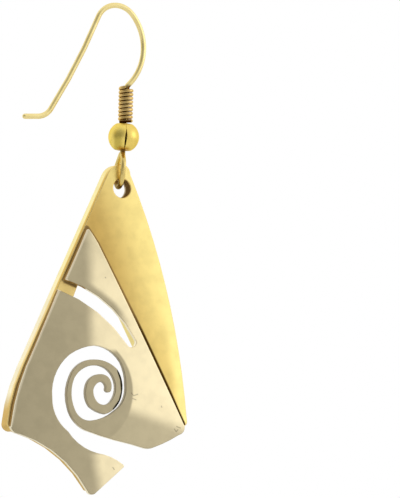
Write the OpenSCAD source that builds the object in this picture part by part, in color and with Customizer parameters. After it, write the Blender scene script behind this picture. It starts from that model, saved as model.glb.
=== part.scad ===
// Dangle earring: a fish-hook ear wire with a wound coil and a seamed bead carries an openwork pendant.
// The pendant is a thick brass frame with a thinner silver-coloured overlay standing just proud of it.
// The origin is where the wire's crown rests; x runs to the right, the pendant faces -y, z is up.

/* [Ear wire] */
// Diameter of the wire
wire_d = 0.54; // [0.5:0.02:0.6]
// Bend radius of the crown, measured at the wire's middle
crown_r = 2.1; // [2:0.05:2.2]
// Slant of the back leg from the vertical at its top, in degrees
leg_slant = 23.8; // [22:0.2:26]
// How far the gently bowed back leg turns outwards on its way down, in degrees
leg_turn = 9.4; // [8:0.2:10]
// Radius of the back leg's gentle bow
leg_bow_r = 66; // [60:1:72]
// Bend radius at the foot of the back leg
foot_bend_r = 1.75; // [1.4:0.05:2]
// Length of the straight free end
tip_len = 1.4; // [1.2:0.1:2]

/* [Coil and bead] */
// Outer diameter of the wound coil
coil_d = 1.5; // [1.46:0.02:1.6]
// Diameter of the coil's own wire
coil_wire_d = 0.36; // [0.34:0.01:0.36]
// Rise of the coil in one turn
coil_pitch = 0.38; // [0.38:0.01:0.4]
// Turns in the coil
coil_turns = 9.1; // [7:0.1:9.1]
// Diameter of the bead across its middle
bead_d = 3.1; // [3:0.05:3.3]
// Height of the bead between its flattened poles
bead_h = 2.6; // [2.4:0.05:2.65]
// Thickness of the bead's rolled shell
bead_wall = 0.25; // [0.2:0.01:0.3]
// Diameter of the holes at the bead's poles
bead_bore_d = 0.68; // [0.66:0.01:0.8]
// Width of the open seam at its widest
seam_w = 0.2; // [0.1:0.02:0.3]
// Where the seam faces, in degrees to the left of the front
seam_turn = 14; // [0:1:40]

/* [Pendant] */
// Thickness of the brass frame
frame_t = 1.6; // [1.4:0.05:1.6]
// Thickness of the overlay
overlay_t = 0.5; // [0.4:0.05:0.6]
// Height that the overlay stands off the frame
overlay_gap = 0.3; // [0.2:0.05:0.4]
// Radius of the gentle curve that both layers share, seen from above
bow_r = 60; // [50:5:90]
// Diameter of the hanging hole
hole_d = 1.9; // [1.85:0.05:2]
// Diameter of the solder tacks between the two layers
tack_d = 0.7; // [0.5:0.05:0.8]
// How far the overlay's left edge stands back from the frame's
step_back = 0.08; // [0:0.02:0.2]

/* [Hidden] */
$fn = 48;
wire_r = wire_d / 2;
seat_gap = 0.03;
// Extra diameter of the barely raised ball where two stretches of wire meet
joint_swell = 0.012;

// Columns of every wire run: a straight's length, or a bend's radius and turn in degrees.
RUN_LENGTH = 0;
RUN_RADIUS = 1;
RUN_TURN = 2;

// From the crown down the back of the ear to the free end
tip_droop = 2.4;
back_run = [
    [0, crown_r, 90 - leg_slant],
    [0, leg_bow_r, -leg_turn],
    [0, foot_bend_r, leg_slant + leg_turn + tip_droop - 90],
    [tip_len, 0, 0]
];

// From the crown down the front bow to the stem
front_run = [
    [0, 2.35, 50],
    [0, 5.2, 87],
    [0, 0.5, -43]
];

// The loop below the bead: forward, down through the pendant's hole, up behind it and back to the stem
loop_run = [
    [0, 0.8, -38],
    [0.45, 0, 0],
    [0, 1.3, 46],
    [0.52, 0, 0],
    [0, 1.4, 82],
    [0, 1.4, 90],
    [0.48, 0, 0],
    [0, 0.6, 55.4],
    [1.55, 0, 0]
];
LOWEST_ROW = 4;
// The loop is turned a little past square to the hook.
loop_turn = 100;

// The wire run's pose is [x, z, heading], the heading in degrees from +z towards +x.
function run_step(pose, row) = row[RUN_RADIUS] == 0
    ? [pose.x + row[RUN_LENGTH] * sin(pose[2]), pose.y + row[RUN_LENGTH] * cos(pose[2]), pose[2]]
    : run_bend(pose, sign(row[RUN_TURN]) * row[RUN_RADIUS], pose[2] + row[RUN_TURN]);
function run_bend(pose, r, heading) = [
    pose.x + r * (cos(pose[2]) - cos(heading)),
    pose.y + r * (sin(heading) - sin(pose[2])),
    heading
];
function run_end(run, pose, i = 0) =
    i == len(run) ? pose : run_end(run, run_step(pose, run[i]), i + 1);

// The stem: a straight line from the end of the front bow, through the coil and the bead
crown_z = wire_r;
stem = run_end(front_run, [0, crown_z, 90]);
coil_top = -0.14;
coil_first_turn = -0.14;
coil_last_turn = coil_first_turn + coil_turns;
coil_len = coil_last_turn * coil_pitch + coil_wire_d;
// The coil stands nearly upright, a little askew on the slanting stem.
coil_lean = -2.6;
bead_top = coil_top + coil_len + seat_gap;
stem_spare = 0.1;
stem_len = bead_top + bead_h + stem_spare;

// The pendant swings about a line just above the loop's lowest point, in the middle of its own thickness.
loop_low = run_end([for (i = [0:LOWEST_ROW]) loop_run[i]], [0, 0, 0]);
loop_side = loop_low.x * cos(loop_turn);
pivot_lift = 0.15;
pivot_down = stem_len + loop_low.y - pivot_lift;
pivot = [
    stem.x + pivot_down * sin(stem[2]) + loop_side * cos(stem[2]),
    loop_low.x * sin(loop_turn),
    stem.y + pivot_down * cos(stem[2]) - loop_side * sin(stem[2])
];
// The hole's middle hangs below the pivot by its play round the wire, and a hair to the right.
hole_play = 0.31;
hole_drop = hole_d / 2 - wire_r - hole_play;
hole_side = 0.015;
hang = [pivot.x + hole_side, pivot.y, pivot.z - hole_drop];

// Columns of every outline, in the pendant's own x and z from the middle of its hole.
// BOW is how far the edge to the next corner bulges to the left of the way along it.
X = 0;
Z = 1;
BOW = 2;

// Outer corners of the overlay and the frame are walked anticlockwise, seen from the front.
tip_corner = [-4.07, -4.25];
left_knee = [-10.6, -18.2];
foot_corner = [-12.13, -23.85];
tail_corner = [-0.2, -28.1];
right_corner = [6.85, -23.75];

overlay_slot = [
    [tip_corner.x - 0.12, tip_corner.y - 0.15, 0.03],
    [-6.49, -9.43, 0.95],
    [1.22, -15.3, 0.42],
    [0.33, -15.85, -0.69],
    [-7.21, -10.46, 0.03],
    [left_knee.x + step_back, left_knee.y, -0.2]
];
overlay_foot = [
    [foot_corner.x + step_back, foot_corner.y - 0.2, -0.28],
    [-11.2, -24.95, 0.87],
    [-4.05, -30.55, -0.2],
    [-3.25, -30.75, 0],
    [tail_corner.x, tail_corner.y, -0.08]
];
// The side of the spiral opening away from the spiral's eye, from the tail round to the tendril's tip
spiral_outer_side = [
    [-0.15, -27.8, -0.2],
    [-3, -26.7, 0.36],
    [-6.15, -24.6, 0.45],
    [-7.8, -21.3, 0.6],
    [-6, -16.95, 0.2],
    [-3.25, -15.95, 0.38],
    [-0.45, -17.55, 0.15],
    [0.08, -19.75, 0.42],
    [-1.15, -22.4, 0.2],
    [-3.6, -23.45, 0.36],
    [-5.4, -22.45, 0.33],
    [-5.5, -19.3, 0.35],
    [-3.3, -17.93, 0.46],
    [-1.15, -19.45, 0.25],
    [-1.5, -21.4, 0.32],
    [-2.95, -21.65, 0.13],
    [-3.45, -20.5, 0.22],
    [-2.6, -19.55, 0.2],
    [-2.15, -20.25, -0.28]
];
// The side of the opening towards the eye, from the tendril's tip back to the lobe
spiral_inner_side = [
    [-1.52, -20.4, -0.14],
    [-1.7, -19.2, -0.13],
    [-2.7, -18.8, -0.36],
    [-4.25, -20.05, -0.25],
    [-3.85, -22.1, -0.13],
    [-2.2, -22.8, -0.43],
    [-0.32, -20.65, -0.27],
    [-0.85, -18.25, -0.28],
    [-3.4, -17.35, -0.5],
    [-5.95, -19.1, -0.28],
    [-6.15, -22.2, -0.35],
    [-4.3, -24.45, -0.1],
    [0.65, -25.7, 0],
    [2.2, -26.07, -0.07]
];
overlay_lobe = [
    [3.15, -26, -0.08],
    [6.2, -24.6, -0.2],
    [right_corner.x, right_corner.y, 0],
    [-2.9, -5.8, -0.03],
    [tip_corner.x + 0.16, tip_corner.y - 0.08, -0.03]
];
overlay_outline =
    concat(overlay_slot, overlay_foot, spiral_outer_side, spiral_inner_side, overlay_lobe);

frame_outer_left = [
    [-1.63, 1.37, -0.07],
    [left_knee.x, left_knee.y, -0.24],
    [foot_corner.x, foot_corner.y, -0.3],
    [-11.2, -24.6, 0.87],
    [-3.6, -30.2, -0.1],
    [-3.2, -30.3, 0],
    [tail_corner.x - 0.4, tail_corner.y + 0.1, -0.1]
];
frame_window = [
    [-0.75, -27.75, -0.1],
    [-3.4, -27, 0.3],
    [-6.4, -25.3, 0.1],
    [-9.2, -23.3, 0.35],
    [-9.6, -22.2, 0.05],
    [-3.75, -7.3, 0.3],
    [-2.75, -7.2, 0],
    [5.5, -22.6, 0.1],
    [5.7, -23.6, -0.15]
];
frame_outer_right = [
    [6.5, -24.1, -0.1],
    [7.25, -23.6, -0.1],
    [7.5, -23.1, -1.07],
    [0.95, 1.42, -0.42],
    [-0.35, 2.38, -0.2]
];
frame_outline = concat(frame_outer_left, frame_window, frame_outer_right);

// Solder tacks between the layers: at the overlay's tip, foot, tail and right corner
tack_places = [[-4.05, -5.6], [-10.5, -23.4], [-1.35, -28.2], [6.25, -23.4]];

// Points along an arc from one corner towards the next, leaving out the next corner itself.
arc_step = 9;
long_edge = 2.5;
function arc_points(p, q, bow) =
    let (chord = norm([q[X] - p[X], q[Z] - p[Z]]))
    let (heading = atan2(q[Z] - p[Z], q[X] - p[X]))
    let (sweep = 4 * atan2(2 * bow, chord))
    let (n = bow == 0 ? 1 : max(3, ceil(chord / long_edge), ceil(abs(sweep) / arc_step)))
    let (d = bow == 0 ? 0 : chord / sin(sweep / 2))
    [for (i = [0:n - 1])
        let (a = sweep * i / n)
        let (turn = heading + (sweep - a) / 2)
        [p[X] + d * sin(a / 2) * cos(turn), p[Z] + d * sin(a / 2) * sin(turn)]];
function outline_points(rows) = [
    for (i = [0:len(rows) - 1])
        each arc_points(rows[i], rows[(i + 1) % len(rows)], rows[i][BOW])
];

// Moves its children to the end of one row of a run.
module past(row) {
    end = run_step([0, 0, 0], row);
    translate([end.x, 0, end.y])
        rotate([0, end[2], 0])
            children();
}

// One straight or bend of wire, starting at the origin along +z and turning towards +x.
module wire_piece(row) {
    if (row[RUN_RADIUS] == 0)
        cylinder(h = row[RUN_LENGTH], d = wire_d);
    else
        mirror([row[RUN_TURN] < 0 ? 1 : 0, 0, 0])
            translate([row[RUN_RADIUS], 0, 0])
                rotate([90, 0, 0])
                    mirror([1, 0, 0])
                        rotate_extrude(angle = abs(row[RUN_TURN]), $fn = 96)
                            translate([row[RUN_RADIUS], 0])
                                circle(d = wire_d);
}

// A whole run of wire, with a ball where each stretch begins and at the free end.
module wire_run(run, i = 0) {
    sphere(d = wire_d + joint_swell);
    if (i < len(run)) {
        wire_piece(run[i]);
        past(run[i]) wire_run(run, i + 1);
    }
}

// Places its children on the stem, a distance below its top, with +z pointing down the stem.
module on_stem(down) {
    translate([stem.x, 0, stem.y])
        rotate([0, stem[2], 0])
            translate([0, 0, down])
                children();
}

module ear_wire() {
    color("khaki") {
        translate([0, 0, crown_z]) {
            rotate([0, 90, 0]) wire_run(front_run);
            mirror([1, 0, 0]) rotate([0, 90, 0]) wire_run(back_run);
        }
        on_stem(0) cylinder(h = stem_len, d = wire_d);
        on_stem(stem_len) rotate([0, 0, loop_turn]) wire_run(loop_run);
    }
}

// One ring of points of the coil's wire, at a turn counted from its top.
coil_sides = 6;
coil_steps = 16;
coil_r = (coil_d - coil_wire_d) / 2;
function coil_ring(turn) = [
    for (j = [0:coil_sides - 1])
        let (a = 360 * j / coil_sides)
        let (r = coil_r + coil_wire_d / 2 * cos(a))
        [r * cos(360 * turn), r * sin(360 * turn), coil_pitch * turn + coil_wire_d / 2 * sin(a)]
];

module wire_coil() {
    rings = round(coil_turns * coil_steps);
    points = [for (i = [0:rings]) each coil_ring(coil_first_turn + i / coil_steps)];
    skin = [
        for (i = [0:rings - 1], j = [0:coil_sides - 1])
            let (k = (j + 1) % coil_sides)
            [i * coil_sides + j, i * coil_sides + k, (i + 1) * coil_sides + k, (i + 1) * coil_sides + j]
    ];
    ends = [
        [for (j = [coil_sides - 1:-1:0]) j],
        [for (j = [0:coil_sides - 1]) rings * coil_sides + j]
    ];
    color("darkgoldenrod")
        on_stem(coil_top + coil_len / 2)
            rotate([0, coil_lean, 0])
                translate([0, 0, (coil_wire_d - coil_len) / 2])
                    polyhedron(points = points, faces = concat(skin, ends), convexity = 8);
}

// The bead's round form with flattened poles, shrunk by the given amount on every side.
module bead_form(inset) {
    intersection() {
        sphere(d = bead_d - 2 * inset, $fn = 96);
        cube([bead_d, bead_d, bead_h - 2 * inset], center = true);
    }
}

module bead() {
    // Half of the seam's width and its height above the bead's middle, from the top down
    seam = [[0.02, 1.25], [0.35 * seam_w, 0.6], [0.5 * seam_w, -0.3], [0.02, -1.15]];
    mirrored_seam = [for (i = [len(seam) - 1:-1:0]) [-seam[i].x, seam[i].y]];
    color("gold")
        on_stem(bead_top + bead_h / 2)
            rotate([0, 180, 0])
                difference() {
                    bead_form(0);
                    bead_form(bead_wall);
                    cylinder(h = bead_h + 1, d = bead_bore_d, center = true);
                    rotate([0, 0, -seam_turn])
                        rotate([90, 0, 0])
                            linear_extrude(bead_d)
                                polygon(concat(seam, mirrored_seam));
                }
}

// The bend that both layers share: a shell between two radii round an upright axis behind the pendant.
bow_axis_x = -2.7;
frame_front_y = sqrt(bow_r * bow_r - bow_axis_x * bow_axis_x) - bow_r - frame_t / 2;
bow_sides = 720;
// Heights and depths that reach past the whole pendant, for cutting it
past_height = 80;
past_depth = 12;
module bowed_layer(back_r, front_r) {
    translate([bow_axis_x, frame_front_y + bow_r, 0])
        difference() {
            cylinder(h = past_height, r = front_r, center = true, $fn = bow_sides);
            cylinder(h = past_height + 1, r = back_r, center = true, $fn = bow_sides);
        }
}

// An outline of the pendant, cut straight through from front to back.
module cut_from(rows) {
    rotate([90, 0, 0])
        linear_extrude(past_depth, center = true, convexity = 10)
            polygon(outline_points(rows));
}

module back_plate() {
    color("goldenrod")
        translate(hang)
            difference() {
                intersection() {
                    bowed_layer(bow_r - frame_t, bow_r);
                    cut_from(frame_outline);
                }
                rotate([90, 0, 0]) cylinder(h = past_depth, d = hole_d, center = true);
            }
}

module front_plate() {
    back_r = bow_r + overlay_gap;
    color("lightgray")
        translate(hang) {
            intersection() {
                bowed_layer(back_r, back_r + overlay_t);
                cut_from(overlay_outline);
            }
            intersection() {
                bowed_layer(bow_r + seat_gap, back_r + overlay_t / 2);
                for (place = tack_places)
                    translate([place.x, 0, place.y])
                        rotate([90, 0, 0])
                            cylinder(h = past_depth, d = tack_d, center = true);
            }
        }
}

ear_wire();
wire_coil();
bead();
back_plate();
front_plate();
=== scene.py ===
"""Looks of a dangle earring: ear wire, wound coil, seamed bead and a two-layer pendant."""

import logging
import math
from dataclasses import dataclass
from enum import Enum
from functools import reduce
from typing import NamedTuple

import bmesh
import bpy
from mathutils import Matrix, Vector


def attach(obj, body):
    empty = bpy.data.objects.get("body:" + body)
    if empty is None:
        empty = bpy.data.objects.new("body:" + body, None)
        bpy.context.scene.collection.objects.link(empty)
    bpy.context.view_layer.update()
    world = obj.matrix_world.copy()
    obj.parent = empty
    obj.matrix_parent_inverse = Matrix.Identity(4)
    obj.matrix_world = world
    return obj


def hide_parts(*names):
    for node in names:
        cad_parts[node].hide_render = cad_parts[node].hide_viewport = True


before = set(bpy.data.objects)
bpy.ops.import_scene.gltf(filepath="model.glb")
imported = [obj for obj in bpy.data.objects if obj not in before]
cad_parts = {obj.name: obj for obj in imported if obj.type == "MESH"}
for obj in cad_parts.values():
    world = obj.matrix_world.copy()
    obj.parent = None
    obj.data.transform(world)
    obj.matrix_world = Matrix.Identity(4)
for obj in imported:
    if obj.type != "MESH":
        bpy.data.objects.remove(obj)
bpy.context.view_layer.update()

MM = 0.001
Colour = tuple[float, float, float]
Triple = tuple[float, float, float]
Line = tuple[Triple, Triple]
Socket = bpy.types.NodeSocket
Mesh = bmesh.types.BMesh
Vert = bmesh.types.BMVert
Edge = bmesh.types.BMEdge
LOG = logging.getLogger("earring")


class Zone(Enum):
    """What a face of a layer is."""

    ROUND = 0
    FRONT = 1
    BACK = 2
    WALL = 3


class Body(Enum):
    """The two parts that move against each other."""

    HOOK = "ear_hook"
    PENDANT = "pendant"


class Stretch(NamedTuple):
    """One straight or bend of a wire, in millimetres and degrees."""

    length: float
    radius: float
    turn: float


class Step(NamedTuple):
    """A soft step: start below low, end above high and an easy slope between them."""

    low: float
    high: float
    start: float = 0.0
    end: float = 1.0


def fall(low: float, high: float) -> Step:
    """Makes a soft step down from 1 to 0."""
    return Step(low, high, 1.0, 0.0)


def path(*corners: tuple[float, float]) -> tuple[Line, ...]:
    """Joins corners, each an x and a z across the pendant, to a row of lines."""
    points = [(x, 0.0, z) for x, z in corners]
    return tuple(zip(points, points[1:]))


ORIGIN = (0.0, 0.0, 0.0)
RIGHT = (1.0, 0.0, 0.0)
UP = (0.0, 0.0, 1.0)
DOWN = (0.0, 0.0, -1.0)
# Towards the right of the side that shows
SHOWN_RIGHT = (0.9135, -0.4067, 0.0)

# Scales that read a place in full, across the pendant, or seen from above
FULL = (1, 1, 1)
FLAT = (1, 0, 1)
LEVEL = (1, 1, 0)
# Nearly all values of a noise lie between these two.
NOISE_SPAN = (0.3, 0.7)

# The finishes measure places across the pendant from the middle of its hole, in millimetres.
HOLE = (0.6698, 0.7378, -18.1544)
PENDANT_MIDDLE = (-2.0, 0.0, -34.0)
# Upright axis that both layers are bowed round, and their front faces
BOW_AXIS_X = -2.0302
FRAME_FRONT_Y = -0.1230
FRAME_FRONT_R = 60.0
OVERLAY_FRONT_R = 60.8
# Arc of the frame's right edge
EDGE_CENTRE = (-67.96, 0.0, -30.12)
EDGE_R = 75.8
# Arc along the slot's shaded side
SLOT_CENTRE = (-10.21, 0.0, -22.2)
# Left edge of the overlay, above the slot and below it
UPPER_LEFT = path((-4.2, -4.5), (-6.45, -9.4))
LOWER_LEFT = path((-7.25, -10.7), (-10.52, -18.2), (-11.5, -21.2), (-12.05, -24.0))


# Finishes


class NodeBoard:
    """Lays out the nodes of one tree and joins them."""

    def __init__(self, tree: bpy.types.NodeTree) -> None:
        """Starts with an empty tree."""
        self.tree = tree
        tree.nodes.clear()

    def add(self, kind: str, **settings: object) -> bpy.types.Node:
        """Adds one node.

        Args:
            kind: The node's type.
            settings: Its properties.

        Returns:
            The node.
        """
        node = self.tree.nodes.new(kind)
        for key, value in settings.items():
            setattr(node, key, value)
        return node

    def feed(self, socket: Socket, value: object) -> None:
        """Joins a socket to another, or sets it to a constant.

        Args:
            socket: The socket that takes the value.
            value: Another socket, or the constant.
        """
        if isinstance(value, Socket):
            self.tree.links.new(value, socket)
        else:
            socket.default_value = value

    def calc(self, operation: str, *values: object, clamp: bool = False) -> Socket:
        """Adds one sum.

        Args:
            operation: The Math node's operation.
            values: Sockets or numbers, in order.
            clamp: Whether the result stays between 0 and 1.

        Returns:
            The result's socket.
        """
        node = self.add("ShaderNodeMath", operation=operation, use_clamp=clamp)
        for socket, value in zip(node.inputs, values):
            self.feed(socket, value)
        return node.outputs[0]

    def vector(self, operation: str, first: object, second: object) -> Socket:
        """Adds one vector sum.

        Args:
            operation: The Vector Math node's operation.
            first: A socket or a vector.
            second: A socket or a vector, or the factor where the first is scaled.

        Returns:
            The result's socket, a number for a distance or a dot product.
        """
        node = self.add("ShaderNodeVectorMath", operation=operation)
        self.feed(node.inputs[0], first)
        self.feed(node.inputs["Scale" if operation == "SCALE" else 1], second)
        return node.outputs["Value" if operation in ("DISTANCE", "DOT_PRODUCT") else "Vector"]

    def fold(self, operation: str, *values: Socket) -> Socket:
        """Joins several values by one operation, in order."""
        return reduce(lambda first, second: self.calc(operation, first, second), values)

    def step(self, value: Socket, slope: Step) -> Socket:
        """Turns a value into a soft step.

        Args:
            value: What is measured.
            slope: The step.

        Returns:
            The result's socket.
        """
        node = self.add("ShaderNodeMapRange", interpolation_type="SMOOTHSTEP")
        for socket, number in zip(node.inputs, (value, *slope)):
            self.feed(socket, number)
        return node.outputs["Result"]


class Bench(NodeBoard):
    """Lays out one material and measures places on the piece that wears it."""

    def __init__(self, name: str) -> None:
        """Starts a material with a bare shader.

        Args:
            name: The material's name.
        """
        self.material = bpy.data.materials.new(name)
        self.material.use_nodes = True
        super().__init__(self.material.node_tree)
        self.shader = self.add("ShaderNodeBsdfPrincipled")
        self.out = self.add("ShaderNodeOutputMaterial")
        self.feed(self.out.inputs["Surface"], self.shader.outputs["BSDF"])

    def place(self, centre: Triple, per_mm: Triple = FULL, turn: float = 0.0) -> Socket:
        """Reads the place on the piece.

        Args:
            centre: The pattern's middle, in millimetres.
            per_mm: Pattern units to the millimetre along each axis.
            turn: Turn about the front-to-back axis, in degrees.

        Returns:
            The pattern's coordinates.
        """
        coords = self.add("ShaderNodeTexCoord").outputs["Object"]
        mapping = self.add("ShaderNodeMapping")
        self.feed(mapping.inputs["Vector"], self.vector("SUBTRACT", coords, Vector(centre) * MM))
        self.feed(mapping.inputs["Rotation"], (0, math.radians(turn), 0))
        return self.vector("MULTIPLY", mapping.outputs["Vector"], Vector(per_mm) / MM)

    def noise(self, place: Socket, detail: float) -> Socket:
        """Adds a noise.

        Args:
            place: The pattern's coordinates, one unit to the coarsest spots.
            detail: How many finer noises lie over it.

        Returns:
            The noise's socket.
        """
        node = self.add("ShaderNodeTexNoise")
        self.feed(node.inputs["Vector"], place)
        self.feed(node.inputs["Scale"], 1.0)
        self.feed(node.inputs["Detail"], detail)
        return node.outputs["Fac"]

    def blend(self, share: object, first: object, second: object) -> Socket:
        """Mixes two colours.

        Args:
            share: How much of the second there is, from 0 to 1.
            first: The first colour or its socket.
            second: The second colour or its socket.

        Returns:
            The mixed colour's socket.
        """
        node = self.add("ShaderNodeMix", data_type="RGBA")
        self.feed(node.inputs["Factor"], share)
        for socket, colour in zip(node.inputs[6:8], (first, second)):
            self.feed(socket, (*colour, 1.0) if isinstance(colour, tuple) else colour)
        return node.outputs[2]

    def from_point(self, place: Socket, point: Triple = ORIGIN) -> Socket:
        """Measures how far a place is from a point."""
        return self.vector("DISTANCE", place, point)

    def from_line(self, place: Socket, line: Line) -> Socket:
        """Measures how far a place is from a stretch of line.

        Args:
            place: The place.
            line: The stretch's two ends.

        Returns:
            The distance's socket.
        """
        start, end = (Vector(point) for point in line)
        offset = self.vector("SUBTRACT", place, start)
        share = self.vector("DOT_PRODUCT", offset, end - start)
        share = self.calc("DIVIDE", share, (end - start).length_squared, clamp=True)
        return self.vector("DISTANCE", offset, self.vector("SCALE", end - start, share))

    def nearest(self, place: Socket, lines: tuple[Line, ...]) -> Socket:
        """Measures how far a place is from the nearest of several lines."""
        return self.fold("MINIMUM", *(self.from_line(place, line) for line in lines))

    def joined(self, place: Socket, tests: tuple["Test", ...], way: str = "MULTIPLY") -> Socket:
        """Joins the shares of several tests by one operation."""
        return self.fold(way, *(test.share(self, place) for test in tests))

    def depth(self) -> Socket:
        """Measures how far a place lies behind the frame's bowed face, in millimetres."""
        axis = (BOW_AXIS_X, FRAME_FRONT_Y + FRAME_FRONT_R, 0.0)
        return self.calc("SUBTRACT", FRAME_FRONT_R, self.from_point(self.place(axis, LEVEL)))

    def speckled(self, colour: object, clouds: Socket, amount: float) -> Socket:
        """Darkens a colour in fine, soft spots, by up to an amount from 0 to 1."""
        return self.vector("SCALE", colour, self.step(clouds, Step(0.35, 0.7, 1.0, 1.0 - amount)))

    def shade(self, name: str, value: object) -> None:
        """Joins one of the shader's inputs to a socket, or sets it to a constant."""
        self.feed(self.shader.inputs[name], value)

    def dull_where(self, bare: Socket) -> None:
        """Lets the metal show only where the share is 1 and makes it dull elsewhere, where painted
        shade or highlight lies as flat colour.
        """
        self.shade("Metallic", bare)
        self.shade("Specular IOR Level", 0.08)
        self.shade("IOR", 1.0)

    def bump(self, height: Socket, depth_mm: float) -> None:
        """Raises the surface.

        Args:
            height: The height pattern, from 0 to 1.
            depth_mm: Its full depth, in millimetres.
        """
        node = self.add("ShaderNodeBump")
        self.feed(node.inputs["Distance"], depth_mm * MM)
        self.feed(node.inputs["Height"], height)
        self.shade("Normal", node.outputs["Normal"])


@dataclass(frozen=True)
class Along:
    """Tests how far along a way a place lies, or how far out to both sides."""

    way: Triple
    slope: Step
    both_sides: bool = False

    def share(self, bench: Bench, place: Socket) -> Socket:
        """Returns the share at a place."""
        value = bench.vector("DOT_PRODUCT", place, self.way)
        return bench.step(bench.calc("ABSOLUTE", value) if self.both_sides else value, self.slope)


@dataclass(frozen=True)
class Out:
    """Tests how far out from a point a place lies."""

    point: Triple
    slope: Step

    def share(self, bench: Bench, place: Socket) -> Socket:
        """Returns the share at a place."""
        return bench.step(bench.from_point(place, self.point), self.slope)


@dataclass(frozen=True)
class Beside:
    """Tests how far a place is from the nearest of several lines."""

    lines: tuple[Line, ...]
    slope: Step

    def share(self, bench: Bench, place: Socket) -> Socket:
        """Returns the share at a place."""
        return bench.step(bench.nearest(place, self.lines), self.slope)


Test = Along | Out | Beside


@dataclass(frozen=True)
class Layer:
    """A colour that covers another where all of its tests say so."""

    colour: Colour
    tests: tuple[Test, ...]

    def over(self, bench: Bench, place: Socket, colour: object) -> Socket:
        """Returns a colour with this one over it."""
        return bench.blend(bench.joined(place, self.tests), colour, self.colour)


@dataclass(frozen=True)
class MetalFinish:
    """A bare metal with fine brush lines and soft mottling, under its layers of colour."""

    name: str
    bright: Colour
    deep: Colour
    roughness: float
    spread: float = 0.04
    sheen: Colour = (1.0, 1.0, 1.0)
    centre_mm: Triple = ORIGIN
    turn: float = 0.0
    layers: tuple[Layer, ...] = ()
    brush_mm: Triple = (0.05, 0.05, 1.2)
    brush_detail: float = 2.0
    brush_share: float = 0.6
    mottle_mm: float = 1.4
    mottle_detail: float = 5.0
    relief_mm: float = 0.004

    def tone(self, bench: Bench, clouds: Socket) -> Socket:
        """Lays out the metal's colour.

        Args:
            bench: The material's bench.
            clouds: The mottling.

        Returns:
            The colour's socket.
        """
        colour = bench.blend(bench.step(clouds, Step(*NOISE_SPAN)), self.deep, self.bright)
        place = bench.place(self.centre_mm)
        for layer in self.layers:
            colour = layer.over(bench, place, colour)
        return colour

    def make(self) -> bpy.types.Material:
        """Lays out the whole material.

        Returns:
            The material.
        """
        bench = Bench(self.name)
        brushed = tuple(1 / side for side in self.brush_mm)
        mottled = (1 / self.mottle_mm,) * 3
        lines = bench.noise(bench.place(self.centre_mm, brushed, self.turn), self.brush_detail)
        clouds = bench.noise(bench.place(self.centre_mm, mottled, self.turn), self.mottle_detail)
        bench.shade("Metallic", 1.0)
        bench.shade("Specular Tint", (*self.sheen, 1.0))
        bench.shade("Base Color", self.tone(bench, clouds))
        rest = bench.calc("MULTIPLY", clouds, 1 - self.brush_share)
        grain = bench.calc("MULTIPLY_ADD", lines, self.brush_share, rest)
        gloss = Step(*NOISE_SPAN, self.roughness - self.spread, self.roughness + self.spread)
        bench.shade("Roughness", bench.step(grain, gloss))
        bench.bump(lines, self.relief_mm)
        return bench.material


# The ear wire's pale gold
HOOK_GOLD = MetalFinish(
    name="hook_gold",
    bright=(0.95, 0.80, 0.38),
    deep=(0.86, 0.70, 0.30),
    roughness=0.24,
    sheen=(1.0, 0.9, 0.6),
    layers=(
        # Richer gold on the loop
        Layer((0.74, 0.57, 0.2), (Along(UP, fall(-15.4, -14.4)),)),
        # Painted shade where the wire goes into the coil's top, just under the bead and inside the
        # hanging hole
        Layer((0.10, 0.035, 0.004), (Out((1.35, -0.15, -8.05), fall(0.15, 0.5)),)),
        Layer((0.10, 0.04, 0.004), (Out((0.78, -0.1, -14.4), fall(0.1, 0.5)),)),
        Layer((0.16, 0.075, 0.015), (Out((0.6, 1.0, -17.75), fall(0.7, 1.2)),)),
    ),
)

# The bead's polished gold
BEAD_GOLD = MetalFinish(
    name="bead_gold",
    bright=(0.96, 0.76, 0.21),
    deep=(0.90, 0.69, 0.16),
    roughness=0.36,
    spread=0.03,
    sheen=(1.0, 0.9, 0.5),
    centre_mm=(0.86, 0.0, -12.989),
    layers=(
        # A painted reflection of the dim surroundings: an olive band left of the seam, weak near
        # the top
        Layer(
            (0.62, 0.48, 0.10),
            (
                Along(SHOWN_RIGHT, Step(-1.1, -0.75)),
                Along(SHOWN_RIGHT, fall(-0.4, 0.05)),
                Along(DOWN, Step(-0.8, 0.3, 0.1)),
            ),
        ),
        # Painted shade that tones down the lamp's highlight: mellower gold at the right
        Layer((0.84, 0.62, 0.16), (Along(SHOWN_RIGHT, Step(0.1, 0.6, 0.0, 0.7)),)),
        # Painted shade, brown, at the foot
        Layer(
            (0.5, 0.27, 0.04),
            (
                Along(DOWN, Step(0.95, 1.3)),
                Along(SHOWN_RIGHT, fall(0.35, 0.75), both_sides=True),
            ),
        ),
    ),
)

# The brass of the frame's rounded rims
RIM_BRASS = MetalFinish(
    name="frame_rim",
    bright=(0.92, 0.7, 0.28),
    deep=(0.8, 0.58, 0.2),
    roughness=0.3,
    sheen=(1.0, 0.82, 0.4),
    centre_mm=PENDANT_MIDDLE,
    turn=15.0,
)


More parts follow.
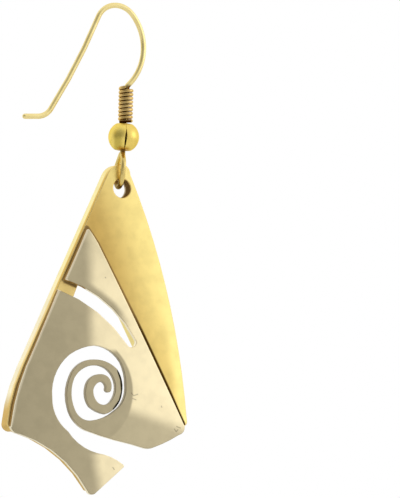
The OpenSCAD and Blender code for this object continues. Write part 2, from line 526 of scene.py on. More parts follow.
@dataclass(frozen=True)
class CoilGold(MetalFinish):
    """The coil's tan gold, with painted shade in the grooves between its turns, down the middle of
    the side that shows and in the gap above the bead.
    """

    name: str = "coil_gold"
    bright: Colour = (0.84, 0.60, 0.24)
    deep: Colour = (0.70, 0.48, 0.17)
    roughness: float = 0.26
    spread: float = 0.05
    sheen: Colour = (1.0, 0.85, 0.5)
    centre_mm: Triple = (1.084, 0.0, -9.784)
    lean: float = -1.4
    # Painted shade in the grooves between the turns
    groove_shade: Colour = (0.34, 0.19, 0.03)
    groove_edge: Step = Step(0.6, 0.745)
    shaded_middle: Along = Along(SHOWN_RIGHT, Step(0.1, 0.6, 0.66), both_sides=True)
    # Painted shade at the coil's foot, in the gap above the bead
    gap_shade: Layer = Layer(
        (0.045, 0.012, 0.002),
        (Along((0.08, 0.0, -1.0), Step(1.45, 1.62)), Along(RIGHT, fall(0.3, 0.5))),
    )

    def tone(self, bench: Bench, clouds: Socket) -> Socket:
        """Lays out the coil's colour, as for any metal."""
        out = bench.from_point(bench.place(self.centre_mm, LEVEL, self.lean))
        ridge = bench.step(out, self.groove_edge)
        colour = bench.blend(ridge, self.groove_shade, super().tone(bench, clouds))
        place = bench.place(self.centre_mm, FULL, self.lean)
        colour = bench.vector("SCALE", colour, self.shaded_middle.share(bench, place))
        return self.gap_shade.over(bench, place, colour)


@dataclass(frozen=True)
class FrameBrass(MetalFinish):
    """The frame's show face, with painted light: bright along its right edge and darker away from
    it, with painted shadow beside the overlay's right edge and under the slot, and painted shade
    in the gap along the overlay's left edge.
    """

    name: str = "frame_brass"
    # Painted light: the bright gold is a highlight along the right edge, the deep gold painted
    # shade away from it
    bright: Colour = (1.0, 0.81, 0.3)
    deep: Colour = (0.62, 0.415, 0.118)
    roughness: float = 0.36
    centre_mm: Triple = PENDANT_MIDDLE
    turn: float = 15.0
    spots: float = 0.1
    # Painted light: lower down, the highlight at the right edge narrows
    low: Layer = Layer(
        (0.80, 0.60, 0.20),
        (Along(UP, fall(-20.0, -9.0)), Out(EDGE_CENTRE, fall(EDGE_R - 1.8, EDGE_R - 0.5))),
    )
    # How far in from the right edge the painted shade takes over
    inner: Test = Out(EDGE_CENTRE, fall(EDGE_R - 6.2, EDGE_R - 0.2))
    # Brighter again at the left, where the frame shows in the slot, easing the painted shade
    corner: Layer = Layer((0.86, 0.64, 0.24), (Along(RIGHT, fall(-5.0, -3.5)),))
    # Painted shadow beside the overlay's right edge and under the slot's upper edge, fainter
    # higher up
    shade: Colour = (0.07, 0.035, 0.007)
    faint: Layer = Layer((0.32, 0.2, 0.07), (Along(UP, Step(-15.0, -11.0)),))
    diagonal: tuple[Line, ...] = path((-3.95, -4.3), (-2.86, -5.8), (6.9, -23.7))
    diagonal_edge: Step = Step(0.47, 0.65)
    narrowing: tuple[Test, ...] = (
        Along(UP, Step(-15.0, -6.0, 1.0, 1.3)),
        Along(UP, Step(-23.0, -19.5, 1.15, 1.0)),
    )
    past_slot: Test = Beside(path((-6.2, -9.6), (-4.6, -10.2)), Step(0.05, 0.25))
    # Painted shade in the gap along the overlay's left edge
    gap_shade: Colour = (0.41, 0.245, 0.075)
    out_of_gap_shade: Test = Beside(path((-4.2, -4.5), (-6.42, -9.3)) + LOWER_LEFT, Step(0.04, 0.24))

    def tone(self, bench: Bench, clouds: Socket) -> Socket:
        """Lays out the face's colour, as for any metal."""
        flat = bench.place(HOLE, FLAT)
        edge = self.low.over(bench, flat, self.bright)
        brass = bench.blend(self.inner.share(bench, flat), edge, self.deep)
        brass = bench.speckled(self.corner.over(bench, flat, brass), clouds, self.spots)
        beside = bench.calc(
            "MULTIPLY", bench.nearest(flat, self.diagonal), bench.joined(flat, self.narrowing)
        )
        lit = bench.calc(
            "MINIMUM", bench.step(beside, self.diagonal_edge), self.past_slot.share(bench, flat)
        )
        out_of_gap_shade = self.out_of_gap_shade.share(bench, flat)
        bench.dull_where(bench.calc("MINIMUM", lit, out_of_gap_shade))
        colour = bench.blend(lit, self.faint.over(bench, flat, self.shade), brass)
        return bench.blend(out_of_gap_shade, self.gap_shade, colour)


@dataclass(frozen=True)
class SideBrass(MetalFinish):
    """The frame's side walls, with painted light: pale behind, golden in front, and brown painted
    shade inside the hanging hole with a painted highlight near its back rim.
    """

    name: str = "frame_side"
    # Painted light: pale at the back of the walls, where they mirror bright surroundings, deeper
    # gold in front
    bright: Colour = (1.0, 0.92, 0.52)
    deep: Colour = (0.92, 0.72, 0.36)
    roughness: float = 0.3
    sheen: Colour = (1.0, 0.9, 0.62)
    centre_mm: Triple = PENDANT_MIDDLE
    turn: float = 15.0
    spots: float = 0.08
    # Painted shade: a deeper gold at the front, higher up
    gold: Layer = Layer((0.70, 0.45, 0.10), (Along(UP, Step(-14.0, -9.0)),))
    # Painted light: paler at the back, lower down
    paler: Layer = Layer((1.0, 0.95, 0.76), (Along(UP, fall(-14.0, -6.0)),))
    back_edge: Step = Step(0.3, 0.7)
    # Painted reflection: paler walls at the right
    pale: Layer = Layer((1.0, 0.85, 0.38), (Along(RIGHT, Step(-2.0, -1.0)),))
    brown: Layer = Layer((0.66, 0.45, 0.16), (Along(UP, fall(-22.8, -20.5)),))
    # Inside the hanging hole: painted shade, with a painted highlight near the back rim
    hole_shade: Colour = (0.3, 0.18, 0.06)
    hole_glint: Colour = (0.86, 0.74, 0.5)
    hole_glint_edge: Step = Step(1.1, 1.3)
    outside: Test = Out(ORIGIN, Step(1.0, 1.1))

    def tone(self, bench: Bench, clouds: Socket) -> Socket:
        """Lays out the walls' colour, as for any metal."""
        flat = bench.place(HOLE, FLAT)
        depth = bench.depth()
        front = self.gold.over(bench, flat, self.deep)
        back = self.paler.over(bench, flat, self.bright)
        colour = bench.blend(bench.step(depth, self.back_edge), front, back)
        for layer in (self.pale, self.brown):
            colour = layer.over(bench, flat, colour)
        colour = bench.speckled(colour, clouds, self.spots)
        inside = bench.blend(bench.step(depth, self.hole_glint_edge), self.hole_shade, self.hole_glint)
        outside = self.outside.share(bench, flat)
        bench.dull_where(outside)
        return bench.blend(outside, inside, colour)


@dataclass(frozen=True)
class OverlaySilver(MetalFinish):
    """The overlay's show face, with painted reflections: cream where it would mirror bright
    surroundings, grey where it would mirror dim ones.
    """

    name: str = "overlay_silver"
    bright: Colour = (0.96, 0.83, 0.53)
    deep: Colour = (0.46, 0.395, 0.25)
    roughness: float = 0.36
    centre_mm: Triple = PENDANT_MIDDLE
    turn: float = 60.0
    spots: float = 0.07
    # Where the painted bright reflection shows; the painted dim one shows elsewhere
    cream: tuple[Test, ...] = (
        Along((1.0, 0.0, 0.03), Step(-4.9, -3.2)),
        Along((0.27, 0.0, 1.0), Step(-23.0, -21.4, 0.15)),
        Along(UP, Step(-25.0, -20.0, 0.8)),
        Along(UP, Step(-11.0, -6.0, 1.0, 0.78)),
    )
    past_ring: tuple[Test, ...] = (
        Out((-4.66, 0.0, -20.49), Step(5.4, 5.65)),
        Along(UP, Step(-16.7, -16.1)),
    )
    slot_shade: tuple[Test, ...] = (
        Out(SLOT_CENTRE, Step(12.84, 13.24)),
        Out(SLOT_CENTRE, fall(13.54, 14.24)),
        Along(RIGHT, fall(-1.2, 1.1)),
    )
    tail: tuple[Test, ...] = (
        Along(DOWN, Step(26.5, 27.0)),
        Along((1.0, 0.0, 0.2), Step(-9.6, -7.9)),
    )
    left_edge: tuple[Line, ...] = UPPER_LEFT + LOWER_LEFT
    # Painted highlight on the face along the rounded left edge
    paler: Layer = Layer((0.66, 0.58, 0.41), (Beside(left_edge, fall(0.12, 0.24)),))
    scratches: tuple[Line, ...] = (
        *path((0.7, -20.6), (0.95, -20.85), (1.4, -20.7)),
        *path((0.85, -21.15), (1.2, -21.25)),
        *path((-2.2, -9.1), (-2.15, -9.15)),
        *path((4.1, -21.8), (4.15, -21.9)),
        *path((2.7, -16.1), (2.75, -16.2)),
        *path((5.6, -24.04), (5.81, -24.29), (6.01, -24.1)),
        *path((5.87, -23.78), (6.3, -23.91)),
        *path((-1.35, -28.1), (-1.2, -28.3)),
    )
    # Painted shade along the right edge of the spiral's tendril
    spiral_side: tuple[Line, ...] = path(
        (-0.78, -18.4), (-0.45, -19.3), (-0.34, -20.5), (-0.6, -21.4), (-1.25, -22.25)
    )
    # Darker on the scratches, and in the painted shade by the spiral
    unscratched_unshaded: tuple[Test, ...] = (
        Beside(scratches, Step(0.0, 0.1, 0.56)),
        Beside(spiral_side, Step(0.08, 0.16, 0.05)),
    )

    def tone(self, bench: Bench, clouds: Socket) -> Socket:
        """Lays out the face's colour, as for any metal."""
        flat = bench.place(HOLE, FLAT)
        past_ring = bench.joined(flat, self.past_ring, "MAXIMUM")
        past_slot = bench.calc("SUBTRACT", 1.0, bench.joined(flat, self.slot_shade))
        cream = bench.fold("MULTIPLY", bench.joined(flat, self.cream), past_ring, past_slot)
        cream = bench.calc("MAXIMUM", cream, bench.joined(flat, self.tail))
        colour = self.paler.over(bench, flat, bench.blend(cream, self.deep, self.bright))
        colour = bench.speckled(colour, clouds, self.spots)
        return bench.vector("SCALE", colour, bench.joined(flat, self.unscratched_unshaded))


@dataclass(frozen=True)
class RimSilver(OverlaySilver):
    """The overlay's rounded rim: a painted highlight along the left edge, like the face elsewhere.
    """

    name: str = "overlay_rim"
    # Painted highlight along the left edge, brighter lower down
    light: Colour = (0.95, 0.80, 0.56)
    low_edge_highlight: Layer = Layer((1.0, 0.9, 0.66), (Along(UP, fall(-19.0, -16.5)),))
    away: Step = Step(0.25, 0.4)
    bare: Step = Step(0.0, 1.0, 0.1)

    def tone(self, bench: Bench, clouds: Socket) -> Socket:
        """Lays out the rim's colour, as for any metal."""
        face = super().tone(bench, clouds)
        flat = bench.place(HOLE, FLAT)
        away = bench.step(bench.nearest(flat, self.left_edge), self.away)
        bench.dull_where(bench.step(away, self.bare))
        return bench.blend(away, self.low_edge_highlight.over(bench, flat, self.light), face)


@dataclass(frozen=True)
class EdgeSilver(MetalFinish):
    """The overlay's cut edges: bright outside, deep round the spiral, with painted shade at the
    left beside the gap to the frame.
    """

    name: str = "overlay_edge"
    bright: Colour = (0.98, 0.88, 0.62)
    deep: Colour = (0.30, 0.25, 0.15)
    roughness: float = 0.28
    centre_mm: Triple = PENDANT_MIDDLE
    turn: float = 60.0
    spots: float = 0.1
    outside: Test = Out((-3.1, 0.0, -20.24), Step(3.9, 4.6))
    # Painted shade on the walls beside the gap to the frame
    gap_shade: Colour = (0.41, 0.245, 0.075)
    seams: tuple[Line, ...] = path((-4.2, -4.5), (-6.45, -9.4), (-4.4, -10.15)) + LOWER_LEFT
    out_of_gap_shade: Test = Beside(seams, Step(0.12, 0.3))

    def tone(self, bench: Bench, clouds: Socket) -> Socket:
        """Lays out the edges' colour, as for any metal."""
        flat = bench.place(HOLE, FLAT)
        bright = bench.speckled(self.bright, clouds, self.spots)
        colour = bench.blend(self.outside.share(bench, flat), self.deep, bright)
        out_of_gap_shade = self.out_of_gap_shade.share(bench, flat)
        bench.dull_where(out_of_gap_shade)
        return bench.blend(out_of_gap_shade, self.gap_shade, colour)


# Meshes


def put_in_scene(name: str, data: bpy.types.ID) -> bpy.types.Object:
    """Makes an object of some data and puts it in the scene.

    Args:
        name: The object's name.
        data: Its mesh, camera or light.

    Returns:
        The new object.
    """
    item = bpy.data.objects.new(name, data)
    bpy.context.scene.collection.objects.link(item)
    return item


def rest_in_place(
    mesh: Mesh,
    name: str,
    body: Body,
    node: str,
    materials: list[bpy.types.Material],
    normals: list[Vector] | None = None,
) -> bpy.types.Object:
    """Turns a finished mesh into a piece of the earring.

    Args:
        mesh: The piece's mesh, in metres.
        name: The piece's name.
        body: The body that it moves with.
        node: The solid that it stands for.
        materials: The piece's finishes, in the order of its faces' numbers.
        normals: The shading directions, corner by corner, where they are worked out.

    Returns:
        The new object.
    """
    data = bpy.data.meshes.new(name)
    for face in mesh.faces:
        face.smooth = True
    mesh.to_mesh(data)
    mesh.free()
    for material in materials:
        data.materials.append(material)
    if normals is not None:
        data.normals_split_custom_set(normals)
    piece = put_in_scene(name, data)
    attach(piece, body.value)
    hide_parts(node)
    LOG.info("%s: %d faces", name, len(data.polygons))
    return piece


def turned(degrees: float, axis: str) -> Matrix:
    """Returns a turn about one axis, in degrees."""
    return Matrix.Rotation(math.radians(degrees), 4, axis)


def edges_of(verts: list[Vert]) -> set[Edge]:
    """Returns every edge that ends at one of the vertices."""
    return {edge for vert in verts for edge in vert.link_edges}


def edges_in(made: list) -> list[Edge]:
    """Returns the edges among an operator's results."""
    return [item for item in made if isinstance(item, Edge)]


class WireSweep:
    """A round wire that grows stretch by stretch from one ring of vertices."""

    def __init__(self, mesh: Mesh, radius: float, pose: Matrix, sides: int = 24) -> None:
        """Makes the first ring.

        Args:
            mesh: Where the wire goes.
            radius: The wire's radius, in metres.
            pose: The start: z along the wire, x towards a positive bend's centre.
            sides: How many sides the wire has.
        """
        self.mesh = mesh
        self.radius = radius
        self.pose = pose.copy()
        made = bmesh.ops.create_circle(mesh, segments=sides, radius=radius, matrix=pose)
        self.ring = list(edges_of(made["verts"]))

    def _ring_verts(self) -> list[Vert]:
        """Returns the last ring's vertices."""
        return list({vert for edge in self.ring for vert in edge.verts})

    def _grow(self) -> list[Vert]:
        """Extrudes the last ring.

        Returns:
            The new ring's vertices.
        """
        made = bmesh.ops.extrude_edge_only(self.mesh, edges=self.ring)["geom"]
        verts = [item for item in made if isinstance(item, Vert)]
        fresh = set(verts)
        self.ring = [edge for edge in edges_of(verts) if fresh.issuperset(edge.verts)]
        return verts

    def straight(self, length: float) -> None:
        """Adds a straight.

        Args:
            length: Its length, in metres.
        """
        verts = self._grow()
        step = Matrix.Translation((0, 0, length))
        bmesh.ops.translate(self.mesh, vec=self.pose.to_3x3() @ step.translation, verts=verts)
        self.pose = self.pose @ step

    def bend(self, radius: float, turn: float, step: float = 4.0) -> None:
        """Adds a bend.

        Args:
            radius: The bend's radius at the wire's middle, in metres.
            turn: How far it turns, in degrees.
            step: The turn between rings, in degrees.
        """
        cent = self.pose @ Vector((math.copysign(radius, turn), 0, 0))
        axis = self.pose.to_3x3() @ Vector((0, 1, 0))
        made = bmesh.ops.spin(
            self.mesh,
            geom=self._ring_verts() + self.ring,
            cent=cent,
            axis=axis,
            angle=math.radians(turn),
            steps=max(2, math.ceil(abs(turn) / step)),
        )
        self.ring = edges_in(made["geom_last"])
        swing = turned(turn, axis)
        self.pose = Matrix.Translation(cent) @ swing @ Matrix.Translation(-cent) @ self.pose

    def follow(self, run: tuple[Stretch, ...]) -> None:
        """Adds every stretch of a run.

        Args:
            run: The stretches, in order.
        """
        for stretch in run:
            if stretch.radius:
                self.bend(stretch.radius * MM, stretch.turn)
            else:
                self.straight(stretch.length * MM)

    def wind(self, stem: Matrix, pitch: float, turns: float, steps: int) -> None:
        """Winds the wire round a stem.

        Args:
            stem: The stem's pose, with z along it.
            pitch: The rise of one turn, in metres.
            turns: How many turns there are.
            steps: How many rings there are in one turn.
        """
        axis = (stem.to_3x3() @ Vector((0, 0, 1))).normalized()
        count = round(turns * steps)
        made = bmesh.ops.spin(
            self.mesh,
            geom=self._ring_verts() + self.ring,
            cent=stem.translation,
            axis=axis,
            dvec=axis * pitch / steps,
            angle=math.radians(360 * count / steps),
            steps=count,
        )
        self.ring = edges_in(made["geom_last"])
        rise = Matrix.Translation((0, 0, pitch * count / steps))
        self.pose = stem @ rise @ turned(360 * count / steps, "Z") @ stem.inverted() @ self.pose

    def round_end(self, steps: int = 5) -> None:
        """Closes the wire with a half-round end.

        Args:
            steps: How many rings the end has.
        """
        ahead = (self.pose.to_3x3() @ Vector((0, 0, 1))).normalized()
        middle = self.pose.translation.copy()
        for i in range(1, steps + 1):
            last, now = (math.radians(90 * k / steps) for k in (i - 1, i))
            verts = self._grow()
            rise = ahead * self.radius * (math.sin(now) - math.sin(last))
            bmesh.ops.translate(self.mesh, vec=rise, verts=verts)
            middle += rise
            if i == steps:
                bmesh.ops.pointmerge(self.mesh, verts=verts, merge_co=middle)
                break
            factor = math.cos(now) / math.cos(last)
            bmesh.ops.scale(
                self.mesh, vec=(factor,) * 3, space=Matrix.Translation(-middle), verts=verts
            )


@dataclass
class EarWire:
    """The fish hook, its stem and the loop below the bead, all one wire."""

    finish: MetalFinish
    wire_d: float = 0.54
    stem_length: float = 6.355
    loop_turn: float = 100.0
    weld: float = 0.002
    back_run: tuple[Stretch, ...] = (
        Stretch(0, 2.1, -66.2),
        Stretch(0, 66, 9.4),
        Stretch(0, 1.75, 54.4),
        Stretch(1.4, 0, 0),
    )
    front_run: tuple[Stretch, ...] = (
        Stretch(0, 2.35, 50),
        Stretch(0, 5.2, 87),
        Stretch(0, 0.5, -43),
    )
    loop_run: tuple[Stretch, ...] = (
        Stretch(0, 0.8, -38),
        Stretch(0.45, 0, 0),
        Stretch(0, 1.3, 46),
        Stretch(0.52, 0, 0),
        Stretch(0, 1.4, 82),
        Stretch(0, 1.4, 90),
        Stretch(0.48, 0, 0),
        Stretch(0, 0.6, 55.4),
        Stretch(1.55, 0, 0),
    )

    def crown_pose(self, side: int) -> Matrix:
        """The start at the crown's top: side 1 heads for the front, -1 for the back of the ear."""
        return Matrix.Translation((0, 0, self.wire_d / 2 * MM)) @ turned(90 * side, "Y")

    def build(self) -> Matrix:
        """Builds the whole wire.

        Returns:
            The pose of the stem's top, with z down the stem.
        """
        mesh = bmesh.new()
        sweep = WireSweep(mesh, self.wire_d / 2 * MM, self.crown_pose(1))
        crown_ring = list(sweep.ring)
        sweep.follow(self.front_run)
        stem = sweep.pose.copy()
        sweep.straight(self.stem_length * MM)
        sweep.pose = sweep.pose @ turned(self.loop_turn, "Z")
        sweep.follow(self.loop_run)
        sweep.round_end()
        sweep.ring, sweep.pose = crown_ring, self.crown_pose(-1)
        sweep.follow(self.back_run)
        sweep.round_end()
        bmesh.ops.remove_doubles(mesh, verts=mesh.verts, dist=self.weld * MM)
        bmesh.ops.recalc_face_normals(mesh, faces=mesh.faces)
        material = self.finish.make()
        rest_in_place(mesh, "hook_wire", Body.HOOK, "ear_wire", [material])
        return stem


@dataclass
class WireCoil:
    """The fine wire wound round the stem above the bead."""

    finish: MetalFinish
    coil_d: float = 1.5
    wire_d: float = 0.36
    pitch: float = 0.38
    first_turn: float = -0.14
    turns: float = 9.1
    top: float = -0.14
    lean: float = -2.6
    sides: int = 14
    steps: int = 30
    end_steps: int = 4

    def build(self, stem: Matrix) -> None:
        """Builds the coil.

        Args:
            stem: The pose of the stem's top, with z down the stem.
        """
        mesh = bmesh.new()
        radius = self.wire_d / 2 * MM
        length = (self.first_turn + self.turns) * self.pitch + self.wire_d
        middle = Matrix.Translation((0, 0, (self.top + length / 2) * MM))
        stem = stem @ middle @ turned(self.lean, "Y") @ middle.inverted()
        reach = self.coil_d / 2 * MM - radius
        rise = (self.top + self.first_turn * self.pitch) * MM + radius
        start = stem @ turned(360 * self.first_turn, "Z") @ Matrix.Translation((reach, 0, rise))
        sweep = WireSweep(mesh, radius, start @ turned(-90, "X"), self.sides)
        first_ring, first_pose = list(sweep.ring), sweep.pose
        sweep.wind(stem, self.pitch * MM, self.turns, self.steps)
        sweep.round_end(self.end_steps)
        sweep.ring, sweep.pose = first_ring, first_pose @ turned(180, "Y")
        sweep.round_end(self.end_steps)
        bmesh.ops.recalc_face_normals(mesh, faces=mesh.faces)
        material = self.finish.make()
        rest_in_place(mesh, "coil_winding", Body.HOOK, "wire_coil", [material])


def round_edges(mesh: Mesh, edges: list[Edge], width: float, clamp: bool) -> None:
    """Rounds edges over.

    Args:
        mesh: Where the edges are.
        edges: The edges.
        width: How wide the rounding is, in millimetres.
        clamp: Whether it stays narrow where there is no room.
    """
    bmesh.ops.bevel(
        mesh,
        geom=edges,
        offset=width * MM,
        segments=3,
        profile=0.5,
        affect="EDGES",
        material=-1,
        clamp_overlap=clamp,
    )


@dataclass
class SeamedBead:
    """The hollow bead, rolled from sheet, with an open seam and flattened poles."""

    finish: MetalFinish
    width: float = 3.1
    height: float = 2.6
    wall: float = 0.25
    bore_d: float = 0.68
    seam_w: float = 0.2
    seam_least: float = 0.1
    seam_middle: float = -0.3
    seam_reach: float = 0.85
    seam_turn: float = 14.0
    top: float = 3.6548
    edge_round: float = 0.05
    sharp_angle: float = 0.6
    arc_steps: int = 22
    round_steps: int = 72

    def _arc(self, mesh: Mesh, radius: float, half_height: float) -> list[Vert]:
        """Makes one side of the shell's section as an arc.

        Args:
            mesh: Where the arc goes.
            radius: The arc's radius, in millimetres.
            half_height: How high above the middle it ends.

        Returns:
            The arc's vertices, from the upper end to the lower.
        """
        lean = math.asin(half_height / radius)
        start = Vector((radius * math.cos(lean), 0, half_height)) * MM
        bmesh.ops.spin(
            mesh,
            geom=[mesh.verts.new(start)],
            cent=(0, 0, 0),
            axis=(0, 1, 0),
            angle=2 * lean,
            steps=self.arc_steps,
        )
        mesh.verts.ensure_lookup_table()
        return list(mesh.verts)[-self.arc_steps - 1 :]

    def _section(self, mesh: Mesh) -> list[Edge]:
        """Draws the closed section of the shell.

        Args:
            mesh: Where the section goes.

        Returns:
            The section's edges.
        """
        bore, tall = self.bore_d / 2, self.height / 2
        outer = self._arc(mesh, self.width / 2, tall)
        inner = self._arc(mesh, self.width / 2 - self.wall, tall - self.wall)
        for end in (0, -1):
            sign = math.copysign(1.0, outer[end].co.z)
            lip = mesh.verts.new(Vector((bore, 0, sign * tall)) * MM)
            throat = mesh.verts.new(Vector((bore, 0, sign * (tall - self.wall))) * MM)
            for pair in ((outer[end], lip), (lip, throat), (throat, inner[end])):
                mesh.edges.new(pair)
        return list(mesh.edges)

    def _open_seam(self, mesh: Mesh, widest: float) -> None:
        """Draws the seam together towards the poles.

        Args:
            mesh: The bead, still upright at the origin.
            widest: Half of the seam's angle at its widest, in radians.
        """
        for vert in mesh.verts:
            level = vert.co.z / (self.height / 2 * MM)
            narrowing = ((level - self.seam_middle) / self.seam_reach) ** 2
            gape = widest * max(self.seam_least, 1 - narrowing)
            away = math.atan2(-vert.co.x, vert.co.y)
            turn = Matrix.Rotation(away * (math.pi - gape) / (math.pi - widest) - away, 3, "Z")
            bmesh.ops.rotate(mesh, verts=[vert], cent=(0, 0, 0), matrix=turn)

    def build(self, stem: Matrix) -> None:
        """Builds the bead.

        Args:
            stem: The pose of the stem's top, with z down the stem.
        """
        mesh = bmesh.new()
        section = self._section(mesh)
        widest = math.asin(self.seam_w / self.width)
        opening = Matrix.Rotation(-math.pi / 2 + widest, 3, "Z")
        bmesh.ops.rotate(mesh, verts=mesh.verts, cent=(0, 0, 0), matrix=opening)
        bmesh.ops.contextual_create(mesh, geom=section)
        rolled = bmesh.ops.spin(
            mesh,
            geom=list(mesh.verts) + list(mesh.edges),
            cent=(0, 0, 0),
            axis=(0, 0, 1),
            angle=2 * (math.pi - widest),
            steps=self.round_steps,
        )
        bmesh.ops.contextual_create(mesh, geom=edges_in(rolled["geom_last"]))
        bmesh.ops.recalc_face_normals(mesh, faces=mesh.faces)
        self._open_seam(mesh, widest)
        sharp = [
            edge
            for edge in mesh.edges
            if len(edge.link_faces) == 2 and edge.calc_face_angle() > self.sharp_angle
        ]
        round_edges(mesh, sharp, self.edge_round, clamp=True)
        place = Matrix.Translation((0, 0, (self.top + self.height / 2) * MM))
        pose = stem @ place @ turned(180, "Y") @ turned(-self.seam_turn, "Z")
        bmesh.ops.transform(mesh, verts=mesh.verts, matrix=pose)
        material = self.finish.make()
        piece = rest_in_place(mesh, "bead_shell", Body.HOOK, "bead", [material])
        modifier = piece.modifiers.new("broad_faces", "WEIGHTED_NORMAL")
        modifier.keep_sharp = True
        modifier.weight = 100


@dataclass
class BowedLayer:
    """One layer of the pendant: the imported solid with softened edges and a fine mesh.

    Its finishes are those of the broad faces, the walls and the rims.
    """

    node: str
    piece: str
    slot: str
    finishes: tuple[MetalFinish, ...]
    front_r: float
    edge_round: float
    strip: float = 0.8
    weld: float = 0.001
    near: float = 0.03
    cut_weld: float = 0.0005
    flat_angle: float = 0.6
    rim_angle: float = 50.0
    same_wall_angle: float = 40.0
    broad_facing: float = 0.999
    wall_facing: float = 0.05

    def sag(self, x: float) -> float:
        """How far the bowed face lies behind its middle at x, in metres."""
        across = x - BOW_AXIS_X * MM
        radius = self.front_r * MM
        return radius - math.sqrt(radius * radius - across * across)

    def bend(self, mesh: Mesh, way: int) -> None:
        """Bows the layer with way 1, or flattens it with way -1."""
        for vert in mesh.verts:
            vert.co.y += way * self.sag(vert.co.x)

    def flat_copy(self) -> Mesh:
        """Copies the solid, merges and flattens it, and makes its broad faces level.

        Returns:
            The copy.
        """
        mesh = bmesh.new()
        mesh.from_mesh(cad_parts[self.node].data)
        bmesh.ops.remove_doubles(mesh, verts=mesh.verts, dist=self.weld * MM)
        self.bend(mesh, -1)
        levels = [pick(vert.co.y for vert in mesh.verts) for pick in (min, max)]
        for vert in mesh.verts:
            for level in levels:
                if abs(vert.co.y - level) < self.near * MM:
                    vert.co.y = level
        mesh.normal_update()
        flat = math.radians(self.flat_angle)
        bmesh.ops.dissolve_limit(mesh, angle_limit=flat, verts=mesh.verts, edges=mesh.edges)
        return mesh

    def rims(self, mesh: Mesh) -> list[Edge]:
        """Picks the edges where the broad faces meet the walls.

        Args:
            mesh: The flattened layer.

        Returns:
            The edges.
        """
        front = min(vert.co.y for vert in mesh.verts) + self.near * MM
        back = max(vert.co.y for vert in mesh.verts) - self.near * MM
        return [
            edge
            for edge in mesh.edges
            if len(edge.link_faces) == 2
            and edge.is_convex
            and edge.calc_face_angle() > math.radians(self.rim_angle)
            and (
                all(vert.co.y < front for vert in edge.verts)
                or all(vert.co.y > back for vert in edge.verts)
            )
        ]

    def mark_zones(self, mesh: Mesh) -> bmesh.types.BMLayerItem:
        """Marks every face with its zone.

        Args:
            mesh: The flattened layer.

        Returns:
            The marks.
        """
        marks = mesh.faces.layers.int.new("zone")
        mesh.normal_update()
        for face in mesh.faces:
            facing = face.normal.y
            zone = Zone.ROUND
            if abs(facing) > self.broad_facing:
                zone = Zone.FRONT if facing < 0 else Zone.BACK
            elif abs(facing) < self.wall_facing:
                zone = Zone.WALL
            face[marks] = zone.value
            face.material_index = {Zone.WALL: 1, Zone.ROUND: 2}.get(zone, 0)
        return marks

    def cut_strips(self, mesh: Mesh) -> None:
        """Cuts the faces up, upright and level, so that they can follow the bow.

        Args:
            mesh: The flattened layer.
        """
        for axis in (0, 2):
            low, high = (pick(vert.co[axis] for vert in mesh.verts) for pick in (min, max))
            count = math.floor((high - low) / (self.strip * MM))
            normal = Vector((axis == 0, 0, axis == 2))
            for i in range(1, count + 1):
                bmesh.ops.bisect_plane(
                    mesh,
                    geom=list(mesh.verts) + list(mesh.edges) + list(mesh.faces),
                    dist=self.cut_weld * MM,
                    plane_co=normal * (low + (high - low) * i / (count + 1)),
                    plane_no=normal,
                )

    def corner_normals(self, mesh: Mesh, marks: bmesh.types.BMLayerItem) -> list[Vector]:
        """Works out the shading directions, so that rounded edges don't tint the broad faces.

        Args:
            mesh: The bowed layer.
            marks: Each face's zone.

        Returns:
            One direction for each corner of each face, in order.
        """
        mesh.normal_update()
        broad = {Zone.FRONT.value: 1, Zone.BACK.value: -1}
        alike = math.cos(math.radians(self.same_wall_angle))
        normals = []
        for face in mesh.faces:
            for loop in face.loops:
                around = loop.vert.link_faces
                sides = [broad[other[marks]] for other in around if other[marks] in broad]
                if sides and face[marks] != Zone.WALL.value:
                    slope = (loop.vert.co.x - BOW_AXIS_X * MM) / (self.front_r * MM)
                    across = Vector((slope, -math.sqrt(1 - slope * slope), 0))
                    normals.append(across * sides[0])
                    continue
                walls = [other.normal for other in around if other[marks] == Zone.WALL.value]
                if face[marks] == Zone.WALL.value:
                    walls = [normal for normal in walls if normal.dot(face.normal) > alike]
                mean = sum(walls or [other.normal for other in around], Vector())
                normals.append(mean.normalized())
        return normals

    def build(self) -> None:
        """Builds the layer from a copy of its solid."""
        mesh = self.flat_copy()
        round_edges(mesh, self.rims(mesh), self.edge_round, clamp=False)
        marks = self.mark_zones(mesh)
        many_sided = [face for face in mesh.faces if len(face.verts) > 4]
        bmesh.ops.triangulate(
            mesh, faces=many_sided, quad_method="BEAUTY", ngon_method="EAR_CLIP"
        )
        self.cut_strips(mesh)
        self.bend(mesh, 1)
        normals = self.corner_normals(mesh, marks)
        materials = [finish.make() for finish in self.finishes]
        rest_in_place(
            mesh, self.piece, Body.PENDANT, self.node, materials, normals
        )


# Studio


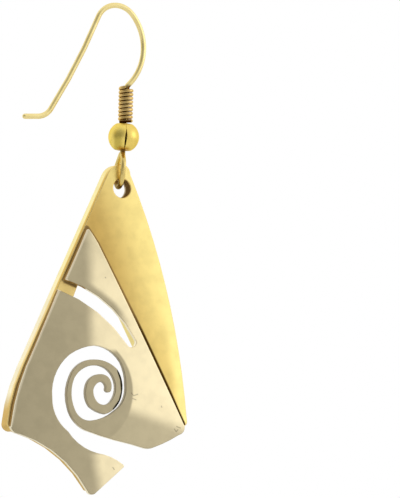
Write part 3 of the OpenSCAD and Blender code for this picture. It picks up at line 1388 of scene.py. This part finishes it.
@dataclass
class Studio:
    """Pale floor, soft light and the camera."""

    lens: float = 600.0
    frame_height: float = 49.8
    azimuth: float = -24.0
    elevation: float = -5.0
    aim_mm: Triple = (8.569, -1.507, -24.098)
    depth_mm: float = 3.0
    clip: tuple[float, float] = (0.01, 5.0)
    floor_z: float = -0.3
    floor_r: float = 3.0
    floor_paint: Colour = (0.9, 0.9, 0.89)
    floor_roughness: float = 0.7
    dim_azimuth: float = -55.0
    dim_side: Step = Step(0.25, 0.85, 1.0, 0.4)
    lamp_place: Triple = (0.62, -0.35, 0.15)
    lamp_aim: Triple = (0.0, 0.0, -0.025)
    lamp_size: float = 0.4
    lamp_power: float = 0.5

    def camera(self) -> None:
        """Sets the camera at the photograph's angle."""
        data = bpy.data.cameras.new("camera")
        data.lens = self.lens
        data.clip_start, data.clip_end = self.clip
        camera = put_in_scene("camera", data)
        a, e = math.radians(self.azimuth), math.radians(self.elevation)
        back = Vector((math.sin(a) * math.cos(e), -math.cos(a) * math.cos(e), math.sin(e)))
        distance = self.frame_height * self.lens / data.sensor_width + self.depth_mm
        camera.location = (Vector(self.aim_mm) + back * distance) * MM
        camera.rotation_mode = "QUATERNION"
        camera.rotation_quaternion = (-back).to_track_quat("-Z", "Y")
        bpy.context.scene.camera = camera

    def floor(self) -> None:
        """Lays a pale floor that is clear from below."""
        bench = Bench("floor_paint")
        bench.shade("Base Color", (*self.floor_paint, 1))
        bench.shade("Roughness", self.floor_roughness)
        clear = bench.add("ShaderNodeBsdfTransparent")
        mix = bench.add("ShaderNodeMixShader")
        bench.feed(mix.inputs[0], bench.add("ShaderNodeNewGeometry").outputs["Backfacing"])
        bench.feed(mix.inputs[1], bench.shader.outputs["BSDF"])
        bench.feed(mix.inputs[2], clear.outputs["BSDF"])
        bench.feed(bench.out.inputs["Surface"], mix.outputs[0])
        mesh = bmesh.new()
        bmesh.ops.create_circle(mesh, cap_ends=True, segments=96, radius=self.floor_r)
        bmesh.ops.translate(mesh, vec=(0, 0, self.floor_z), verts=mesh.verts)
        data = bpy.data.meshes.new("floor")
        mesh.to_mesh(data)
        mesh.free()
        data.materials.append(bench.material)
        put_in_scene("floor", data)

    def sky(self) -> None:
        """Surrounds the object with soft white light that is dimmer on one side."""
        world = bpy.data.worlds.new("white_room")
        bpy.context.scene.world = world
        world.use_nodes = True
        board = NodeBoard(world.node_tree)
        shade = board.add("ShaderNodeBackground")
        board.feed(shade.inputs["Color"], (1, 1, 1, 1))
        out = board.add("ShaderNodeOutputWorld")
        board.feed(out.inputs["Surface"], shade.outputs[0])
        where = board.add("ShaderNodeTexCoord").outputs["Generated"]
        a = math.radians(self.dim_azimuth)
        toward = board.vector("DOT_PRODUCT", where, (math.sin(a), -math.cos(a), 0))
        seen = board.add("ShaderNodeLightPath").outputs["Is Camera Ray"]
        strength = board.calc("MAXIMUM", board.step(toward, self.dim_side), seen)
        board.feed(shade.inputs["Strength"], strength)

    def lamp(self) -> None:
        """Hangs one soft lamp that looks at the object."""
        data = bpy.data.lights.new("right_lamp", "AREA")
        data.size, data.energy = self.lamp_size, self.lamp_power
        lamp = put_in_scene("right_lamp", data)
        lamp.location = Vector(self.lamp_place)
        lamp.rotation_mode = "QUATERNION"
        away = Vector(self.lamp_place) - Vector(self.lamp_aim)
        lamp.rotation_quaternion = away.to_track_quat("Z", "Y")

    def build(self) -> None:
        """Sets up the whole studio."""
        self.camera()
        self.floor()
        self.sky()
        self.lamp()
        bpy.context.scene.view_settings.view_transform = "Standard"


def main() -> None:
    """Builds every piece, then the studio."""
    logging.basicConfig(level=logging.INFO)
    stem = EarWire(HOOK_GOLD).build()
    WireCoil(CoilGold()).build(stem)
    SeamedBead(BEAD_GOLD).build(stem)
    brass = (FrameBrass(), SideBrass(), RIM_BRASS)
    BowedLayer(
        "back_plate", "brass_frame", "frame_brass", brass, FRAME_FRONT_R, edge_round=0.1
    ).build()
    silver = (OverlaySilver(), EdgeSilver(), RimSilver())
    BowedLayer(
        "front_plate", "silver_overlay", "overlay_silver", silver, OVERLAY_FRONT_R, edge_round=0.08
    ).build()
    Studio().build()


if __name__ == "__main__":
    main()
